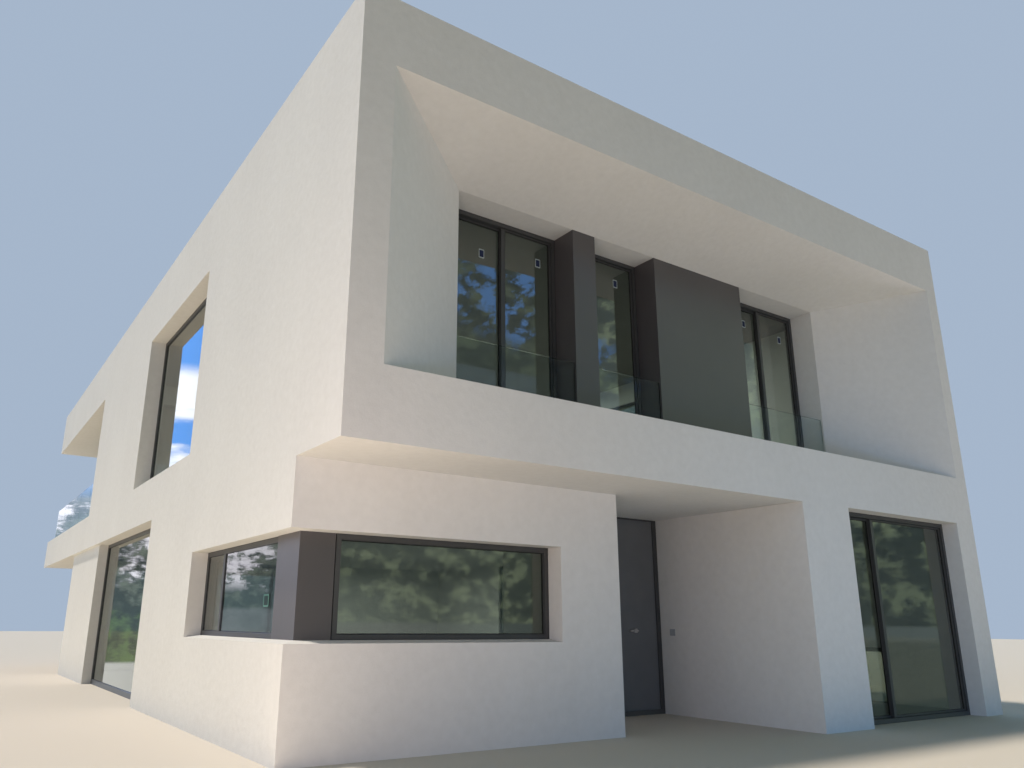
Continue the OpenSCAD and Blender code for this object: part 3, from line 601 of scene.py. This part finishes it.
# Roof covering.
# A grey welded sheet in strips 1.5 m wide, each lapped over the next and turned up the parapet, held
# there by a clamping bar, with two domed outlet guards.
strip_wide, sheet_thick = 1.5, 0.003
lap_wide, lap_step, lap_rise = 0.05, 0.004, 0.001
roof_lo, roof_hi = solids_of("roof_slab")[0]
roof_top = roof_hi[2]
upturn = 0.18
membrane_grey = (0.26, 0.265, 0.27, 1.0)
membrane_pale = (0.34, 0.345, 0.35, 1.0)


def lapped_sheet(lo, hi, level, rows=25, hair=1e-6):
    """A sheet over a rectangle, which steps up at each strip's edge and thins out across the lap.

    Height = level + thickness + step * (1.2 - the way across the lap), at every strip width along x, and
    level + thickness between the laps. A place within a hair of a lap's edge is on the lap. The two ends
    close at the middle of the thickness.
    """
    laps = np.arange(lo[0] + strip_wide, hi[0] - lap_wide, strip_wide)
    x = np.sort(np.concatenate([[lo[0], hi[0]], laps, laps + lap_rise, laps + lap_wide]))
    since = np.min(np.where(x[:, None] >= laps[None] - hair, x[:, None] - laps[None], np.inf), axis=1)
    on_lap = (since >= lap_rise / 2) & (since <= lap_wide + hair)
    lift = np.where(on_lap, lap_step * (1.2 - since / lap_wide), 0.0)
    y = np.linspace(lo[1], hi[1], rows)
    top = np.stack(np.broadcast_arrays(x[:, None], y[None], (level + sheet_thick + lift)[:, None]), axis=2)
    under = np.stack(np.broadcast_arrays(x[::-1, None], y[None], np.full((len(x), 1), level - sunk)), axis=2)
    points = np.concatenate([top, under])
    ends = np.concatenate([points[:, :1] * (1, 1, 0), points[:, -1:] * (1, 1, 0)], axis=1)
    ends[:, :, 2] = level + (sheet_thick - sunk) / 2
    points = np.concatenate([ends[:, :1], points, ends[:, 1:]], axis=1)
    return points.reshape(-1, 3), grid_faces(len(points), points.shape[1], ring_rows=True, ring_columns=False)


membrane = speckled_finish("welded_roof_sheet", membrane_grey, membrane_pale,
                           clouds=(1.1, 2.2, 0.003), specks=(0.12, 2.0, 0.0008),
                           strength=0.3, rough=0.8)
turned_up = ((0.0, -sunk), (0.0, upturn), (sheet_thick, upturn), (sheet_thick, 0.03),
             (0.012, 0.012), (0.03, 0.009), (0.14, 0.0085), (0.14, -sunk))
clamp_bar = ((0.002, upturn - 0.035), (0.0075, upturn - 0.034),
             (0.0075, upturn - 0.004), (0.002, upturn - 0.001))
upturn_shape, bar_shape = (round_rectangle(roof_lo, roof_hi, axis=2, face=roof_top, side=1.0, profile=profile)
                           for profile in (turned_up, clamp_bar))
new_piece("roof_sheet", lapped_sheet(roof_lo, roof_hi, roof_top), (membrane,))
new_piece("roof_upturn", upturn_shape, (membrane,))
new_piece("roof_clamping_bar", bar_shape, (alloy,))


def ribbed_dome(middle, radius, height, ribs=14, groove=0.30, rings=10, steps=112):
    """A dome whose radius swells at each rib.

    Radius = R cos(a) (1 - d (0.5 - 0.5 cos(ribs t))), height = H sin(a), for a from 0 to a right angle and
    t once round. The depth d is the groove times the root of cos(a), so it fades towards the crown.
    """
    a = np.linspace(0.0, np.pi / 2, rings)[:, None]
    t = np.linspace(0.0, 2 * np.pi, steps, endpoint=False)[None]
    depth = groove * np.cos(a) ** 0.5
    r = radius * np.cos(a) * (1.0 - depth * (0.5 - 0.5 * np.cos(ribs * t)))
    z = middle[2] + height * np.sin(a) * np.ones_like(t)
    points = np.stack([middle[0] + r * np.cos(t), middle[1] + r * np.sin(t), z], axis=2)
    foot = np.broadcast_to(np.array(middle), (1, steps, 3))
    points = np.concatenate([foot, points])
    return points.reshape(-1, 3), grid_faces(len(points), steps, ring_rows=False, ring_columns=True)


outlet_round, outlet_high = 0.09, 0.075
outlet_places = ((-4.2, -4.5), (-4.2, 5.5))
outlets = [ribbed_dome((x, y, roof_top + sheet_thick), outlet_round, outlet_high) for x, y in outlet_places]
new_piece("roof_outlet_guards", join_shapes(outlets), (rubber,), smooth=True)


# Sheet over the ledge of the recess.
# Coated aluminium folded to a shallow fall towards the front, its front edge kept behind the wall's face.
ledge_front, ledge_back, ledge_fall = 0.012, 1.19, 0.012
ledge_level, ledge_thick, ledge_fold = 3.400, 0.004, 0.002
ledge_ends = np.array([[0.40, 10.15], [1.85, 8.77]])


def folded_ledge(front_left, steps=40):
    """A sheet between two slanted ends, by place across u and depth v.

    x goes from the left end to the right end with u, both ends slanting in with v. y runs with v, and the
    height rises with v. The first two rows fold the front edge down.
    """
    u = np.linspace(0.0, 1.0, steps)[None]
    v = np.concatenate([[0.0, 0.0], np.linspace(0.0, 1.0, 12)])[:, None]
    left_end, right_end = (ledge_ends[0] + (ledge_ends[1] - ledge_ends[0]) * v).T[:, :, None]
    x = left_end + (right_end - left_end) * u
    y = ledge_front + (ledge_back - ledge_front) * v + 0.0 * u
    z = ledge_level + ledge_thick + ledge_fall * v + 0.0 * u
    z[0] = ledge_level
    z[1] = ledge_level + ledge_fold
    under = np.stack([x, y, np.full_like(z, ledge_level - sunk)], axis=2)[::-1]
    points = np.concatenate([np.stack([x, y, z], axis=2), under])
    sides = points[:, [0, -1]] * (1, 1, 0) + (0, 0, ledge_level)
    points = np.concatenate([sides[:, :1], points, sides[:, 1:]], axis=1) + front_left
    return points.reshape(-1, 3), grid_faces(len(points), points.shape[1], ring_rows=True, ring_columns=False)


ledge_coat = clouded_finish("coated_ledge_sheet", render_shade, render_white, size=0.6, contrast=1.5,
                            rough=0.45, relief=0.0015)
new_piece("recess_ledge_sheet", folded_ledge(np.array([*cad_lo[:2], 0.0])), (ledge_coat,))


# Entrance door leaf.
# A flush insulated leaf faced with mid-grey lacquered board.
leaf_grey = (0.145, 0.148, 0.154, 1.0)
leaf_light = (0.162, 0.165, 0.171, 1.0)
leaf_coat = clouded_finish("leaf_lacquer", leaf_grey, leaf_light, size=0.25, contrast=2.0,
                           rough=0.5, relief=0.0008)
dress(("door_leaf",), leaf_coat)


# Door handle and hinges.
# Stainless steel with an upright brushed grain, screwed on.
steel_dull = (0.50, 0.51, 0.52, 1.0)
steel_bright = (0.56, 0.57, 0.58, 1.0)
steel = clouded_finish("brushed_steel", steel_dull, steel_bright, size=0.02, contrast=2.0,
                       rough=0.32, stretch=0.05, metal=1.0)
dress(("door_handle", "door_hinges", "leaf_hinges"), steel)


# Bell plate.
# A pale grey lacquered cover, clipped over a box in the porch wall.
plate_grey = (0.34, 0.36, 0.39, 1.0)
plate_pale = (0.40, 0.42, 0.45, 1.0)
plate_lacquer = clouded_finish("bell_plate_lacquer", plate_grey, plate_pale, size=0.03, contrast=2.0,
                               rough=0.35, relief=0.0002)
dress(("bell_plate",), plate_lacquer)


# Studio floor and lamps.
# A plain pale floor. A warm key light stands high, a little to the left and behind. Soft boxes on the
# left, right and in front fill in the shade and two more light the rooms, and none lights the floor.
floor_pale = (0.62, 0.57, 0.50, 1.0)
floor_half = 90.0
floor_corners = [(x * floor_half, y * floor_half, 0.0) for x, y in ((-1, -1), (1, -1), (1, 1), (-1, 1))]
floor_mesh = bpy.data.meshes.new("studio_floor")
floor_mesh.from_pydata(floor_corners, [], [(0, 1, 2, 3)])
studio_floor = bpy.data.objects.new("studio_floor", floor_mesh)
bpy.context.scene.collection.objects.link(studio_floor)
floor_paint, tree, shader = new_finish("floor_paint")
shader.inputs["Base Color"].default_value = floor_pale
shader.inputs["Roughness"].default_value = 0.9
floor_mesh.materials.append(floor_paint)
studio_floor.visible_glossy = False
studio_floor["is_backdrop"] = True
all_but_floor = bpy.data.collections.new("all_but_floor")
all_but_floor.objects.link(studio_floor)
all_but_floor.collection_objects[0].light_linking.link_state = "EXCLUDE"


def place_lamp(name, kind, power, colour, behind):
    """A lamp that shines away from the direction it has behind it."""
    data = bpy.data.lights.new(name, kind)
    data.energy = power
    data.color = colour
    lamp = bpy.data.objects.new(name, data)
    lamp.rotation_mode = "QUATERNION"
    lamp.rotation_quaternion = Vector(behind).to_track_quat("Z", "Y")
    bpy.context.scene.collection.objects.link(lamp)
    return lamp


def place_soft_box(name, middle, size, power, colour, behind):
    """A rectangular soft box, hidden from camera and mirrors, that lights all but the studio floor."""
    lamp = place_lamp(name, "AREA", power, colour, behind)
    lamp.data.shape = "RECTANGLE"
    lamp.data.size, lamp.data.size_y = size
    lamp.location = middle
    lamp.visible_camera = False
    lamp.visible_glossy = False
    lamp.visible_transmission = False
    lamp.light_linking.receiver_collection = all_but_floor


key_light = place_lamp("key_light", "SUN", power=2.94, colour=(1.0, 0.90, 0.77), behind=(-0.30, 0.17, 0.95))
key_light.data.angle = math.radians(5)
floor_up, room_down = (0.0, 0.0, -1.0), (0.0, 0.0, 1.0)
room_white = (0.95, 1.0, 0.93)

# Each row is a name, middle, two sides, power, colour and the direction behind the soft box.
soft_boxes = (
    ("left_floor_box", (-8.875, -0.35, 0.03), (6.7, 21.5), 240.0, (1.0, 0.80, 0.50), floor_up),
    ("corner_floor_box", (-6.975, -11.6, 0.03), (3.5, 4.0), 40.0, (1.0, 0.84, 0.67), floor_up),
    ("front_floor_box", (1.225, -13.7, 0.03), (7.9, 5.0), 21.0, (1.0, 0.84, 0.40), floor_up),
    ("right_side_box", (11.0, -11.5, 5.0), (1.5, 3.0), 165.0, (0.92, 0.86, 1.0), (1.0, 0.0, 0.0)),
    ("low_blue_box", (1.6, -15.2, 1.1), (7.0, 0.5), 42.0, (0.05, 0.38, 1.0), (0.0, -1.0, 0.0)),
    ("lower_room_box", (0.0, -1.0, 2.6), (7.0, 9.0), 210.0, room_white, room_down),
    ("upper_room_box", (0.0, -3.0, 6.5), (7.0, 8.0), 450.0, room_white, room_down),
    ("low_front_box", (-7.425, -13.6, 1.1), (3.0, 1.2), 68.0, (1.0, 0.77, 0.74), (-0.55, -0.83, -0.05)))
for box in soft_boxes:
    place_soft_box(*box)


# Surroundings of the studio.
# What lights the house is a faint blue sky, stronger on both sides. Glass and lacquer mirror green and
# grey patches with gaps of blue in front, and clouded sky on the left. The backdrop is plain.
def ease(tree, value, low, high):
    """Goes smoothly from 0 to 1 as the value goes from low to high, or back where low is the greater."""
    node = tree.nodes.new("ShaderNodeMapRange")
    node.interpolation_type = "SMOOTHSTEP"
    wire(tree, value, node.inputs["Value"])
    node.inputs["From Min"].default_value = low
    node.inputs["From Max"].default_value = high
    return node.outputs["Result"]


def soft_patches(tree, direction, squeeze, scale, detail, offset, rough):
    """Noise over all directions, squeezed along the three axes."""
    spread = tree.nodes.new("ShaderNodeVectorMath")
    spread.operation = "MULTIPLY_ADD"
    spread.inputs[1].default_value = squeeze
    spread.inputs[2].default_value = offset
    wire(tree, direction, spread.inputs[0])
    noise = tree.nodes.new("ShaderNodeTexNoise")
    noise.inputs["Scale"].default_value = scale
    noise.inputs["Detail"].default_value = detail
    noise.inputs["Roughness"].default_value = rough
    wire(tree, spread.outputs["Vector"], noise.inputs["Vector"])
    return noise.outputs["Fac"]


def glow(tree, colour):
    """A background of one colour or of a colour socket."""
    node = tree.nodes.new("ShaderNodeBackground")
    feed(tree, node.inputs["Color"], colour)
    return node.outputs["Background"]


def both(tree, first, second):
    """The product of two masks."""
    return work(tree, "MULTIPLY", first, second)


def either(tree, factor, first, second):
    """The first shader where the factor is 0, the second where it is 1."""
    node = tree.nodes.new("ShaderNodeMixShader")
    wire(tree, factor, node.inputs["Fac"])
    wire(tree, first, node.inputs[1])
    wire(tree, second, node.inputs[2])
    return node.outputs["Shader"]


sky_faint = (0.072, 0.087, 0.108, 1.0)
sky_right = (0.25, 0.41, 0.38, 1.0)
sky_left = (0.44, 0.62, 0.80, 1.0)
backdrop = (0.38, 0.47, 0.60, 1.0)
patch_deep = (0.03, 0.06, 0.035, 1.0)
patch_bright = (1.05, 1.28, 0.72, 1.0)
patch_added = (0.30, 0.38, 0.40, 1.0)
patch_shaded = (0.42, 0.44, 0.44, 1.0)
gap_blue = (0.42, 1.25, 3.10, 1.0)
low_strip = (0.30, 0.38, 0.36, 1.0)
low_front = (0.12, 0.18, 0.17, 1.0)
low_middle = (0.48, 0.47, 0.48, 1.0)
side_deep = (0.03, 0.035, 0.03, 1.0)
side_bright = (0.26, 0.29, 0.22, 1.0)
side_green = (0.16, 0.26, 0.08, 1.0)
side_pale = (0.62, 0.63, 0.67, 1.0)
low_left = (1.10, 1.10, 1.05, 1.0)
haze_lilac = (2.10, 2.02, 2.20, 1.0)
open_blue = (0.30, 0.95, 2.50, 1.0)
cloud_white = (2.90, 3.00, 3.20, 1.0)

world = bpy.data.worlds.new("studio")
bpy.context.scene.world = world
world.use_nodes = True
tree = world.node_tree
tree.nodes.clear()

# Places all round are given by the parts of the unit direction: rightward, backward and upward.
direction = tree.nodes.new("ShaderNodeTexCoord").outputs["Generated"]
parts = tree.nodes.new("ShaderNodeSeparateXYZ")
wire(tree, direction, parts.inputs["Vector"])
rightward, backward, upward_part = parts.outputs["X"], parts.outputs["Y"], parts.outputs["Z"]
daylight = blend_colours(tree, ease(tree, rightward, 0.0, 1.0), sky_faint, sky_right)
daylight = blend_colours(tree, ease(tree, rightward, -0.3, -1.0), daylight, sky_left)

# What front glass mirrors is green patches, lighter high on the right, with gaps of blue above, and a
# dark ground.
mottle = soft_patches(tree, direction, (1.0, 1.0, 1.3), 46.0, 8.0, (0.0, 0.0, 0.0), 0.68)
clusters = ease(tree, mottle, 0.455, 0.625)
front_mirror = blend_colours(tree, clusters, patch_deep, patch_bright)
high_left = both(tree, ease(tree, rightward, 0.66, 0.56), ease(tree, upward_part, 0.10, 0.15))
high_right = both(tree, ease(tree, rightward, 0.58, 0.70), ease(tree, upward_part, 0.10, 0.16))
low_right = both(tree, ease(tree, rightward, 0.70, 0.82), ease(tree, upward_part, 0.14, 0.08))
front_mirror = blend_colours(tree, high_right, front_mirror, patch_added, "ADD")
front_mirror = blend_colours(tree, low_right, front_mirror, patch_shaded, "MULTIPLY")
front_mirror = blend_colours(tree, high_left, front_mirror, patch_shaded, "MULTIPLY")
gap_noise = soft_patches(tree, direction, (1.0, 1.0, 1.6), 24.0, 10.0, (3.1, 0.4, 0.0), 0.76)
gaps = ease(tree, gap_noise, 0.525, 0.55)
lower_slant = work(tree, "ADD", upward_part, work(tree, "MULTIPLY", rightward, 0.5))
upper_slant = work(tree, "ADD", upward_part, work(tree, "MULTIPLY", rightward, 1.2))
belt = both(tree, ease(tree, lower_slant, 0.600, 0.630), ease(tree, upper_slant, 1.125, 1.085))
front_mirror = blend_colours(tree, both(tree, gaps, belt), front_mirror, gap_blue)
ground = blend_colours(tree, ease(tree, upward_part, -0.012, -0.018), low_strip, low_front)
ground = blend_colours(tree, ease(tree, rightward, 0.58, 0.46), ground, low_middle)
front_mirror = blend_colours(tree, ease(tree, upward_part, 0.002, -0.002), front_mirror, ground)

# What left glass mirrors is a pale ground, dark patches with lilac haze above them, and blue sky with
# white clouds.
haze_noise = soft_patches(tree, direction, (1.0, 1.0, 2.0), 9.0, 8.0, (0.0, 1.7, 0.3), 0.70)
haze = ease(tree, haze_noise, 0.50, 0.56)
haze = both(tree, haze, ease(tree, mottle, 0.56, 0.48))
haze = both(tree, haze, ease(tree, upward_part, 0.03, 0.05))
left_low = blend_colours(tree, haze, blend_colours(tree, clusters, side_deep, side_bright), haze_lilac)
bottom_right = both(tree, ease(tree, rightward, -0.24, -0.26), ease(tree, upward_part, 0.018, 0.012))
bottom_left = both(tree, ease(tree, rightward, -0.24, -0.22), ease(tree, upward_part, 0.018, 0.008))
greens = blend_colours(tree, clusters, side_deep, side_green)
pales = blend_colours(tree, mottle, side_deep, side_pale)
left_low = blend_colours(tree, bottom_left, left_low, greens)
left_low = blend_colours(tree, bottom_right, left_low, pales)
left_low = blend_colours(tree, ease(tree, upward_part, -0.042, -0.046), left_low, low_left)
cloud_noise = soft_patches(tree, direction, (1.0, 1.0, 5.0), 6.0, 6.0, (0.6, 0.0, 0.9), 0.5)
clouds = ease(tree, cloud_noise, 0.38, 0.50)
clouds = both(tree, clouds, ease(tree, upward_part, 0.295, 0.275))
left_sky = blend_colours(tree, clouds, open_blue, cloud_white)
left_mirror = blend_colours(tree, ease(tree, upward_part, 0.12, 0.17), left_low, left_sky)
mirrored = blend_colours(tree, ease(tree, backward, -0.1, 0.1), front_mirror, left_mirror)
ray = tree.nodes.new("ShaderNodeLightPath")
seen_plain = work(tree, "MAXIMUM", ray.outputs["Is Camera Ray"], ray.outputs["Is Transmission Ray"])
shown = either(tree, ray.outputs["Is Glossy Ray"], glow(tree, daylight), glow(tree, mirrored))
shown = either(tree, seen_plain, shown, glow(tree, backdrop))
sky_end = tree.nodes.new("ShaderNodeOutputWorld")
wire(tree, shown, sky_end.inputs["Surface"])


# Camera.
# It stands in front of the left corner, 1.2 m above the ground, and looks up at the house. Its place,
# turn, tilt, roll and lens come from the fit to the measured lines.
bpy.context.scene.view_settings.view_transform = "Standard"
eye = Vector((-7.8565, -16.6445, 1.2003))
turn = math.radians(33.4095)
tilt = math.radians(15.9738)
roll = math.radians(0.44)
forward = Vector((math.sin(turn) * math.cos(tilt), math.cos(turn) * math.cos(tilt), math.sin(tilt)))
level = Vector((math.cos(turn), -math.sin(turn), 0))
upright = level.cross(forward)
across = level * math.cos(roll) + upright * math.sin(roll)
upward = upright * math.cos(roll) - level * math.sin(roll)
camera_data = bpy.data.cameras.new("camera")
camera_data.sensor_width = 36.0
camera_data.lens = 28.04
camera_data.shift_x = 0.0345
camera_data.shift_y = 0.0110
camera_data.clip_end = 500.0
camera = bpy.data.objects.new("camera", camera_data)
bpy.context.scene.collection.objects.link(camera)
camera.matrix_world = Matrix.Translation(eye) @ Matrix((across, upward, -forward)).transposed().to_4x4()
bpy.context.scene.camera = camera

lo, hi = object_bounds()
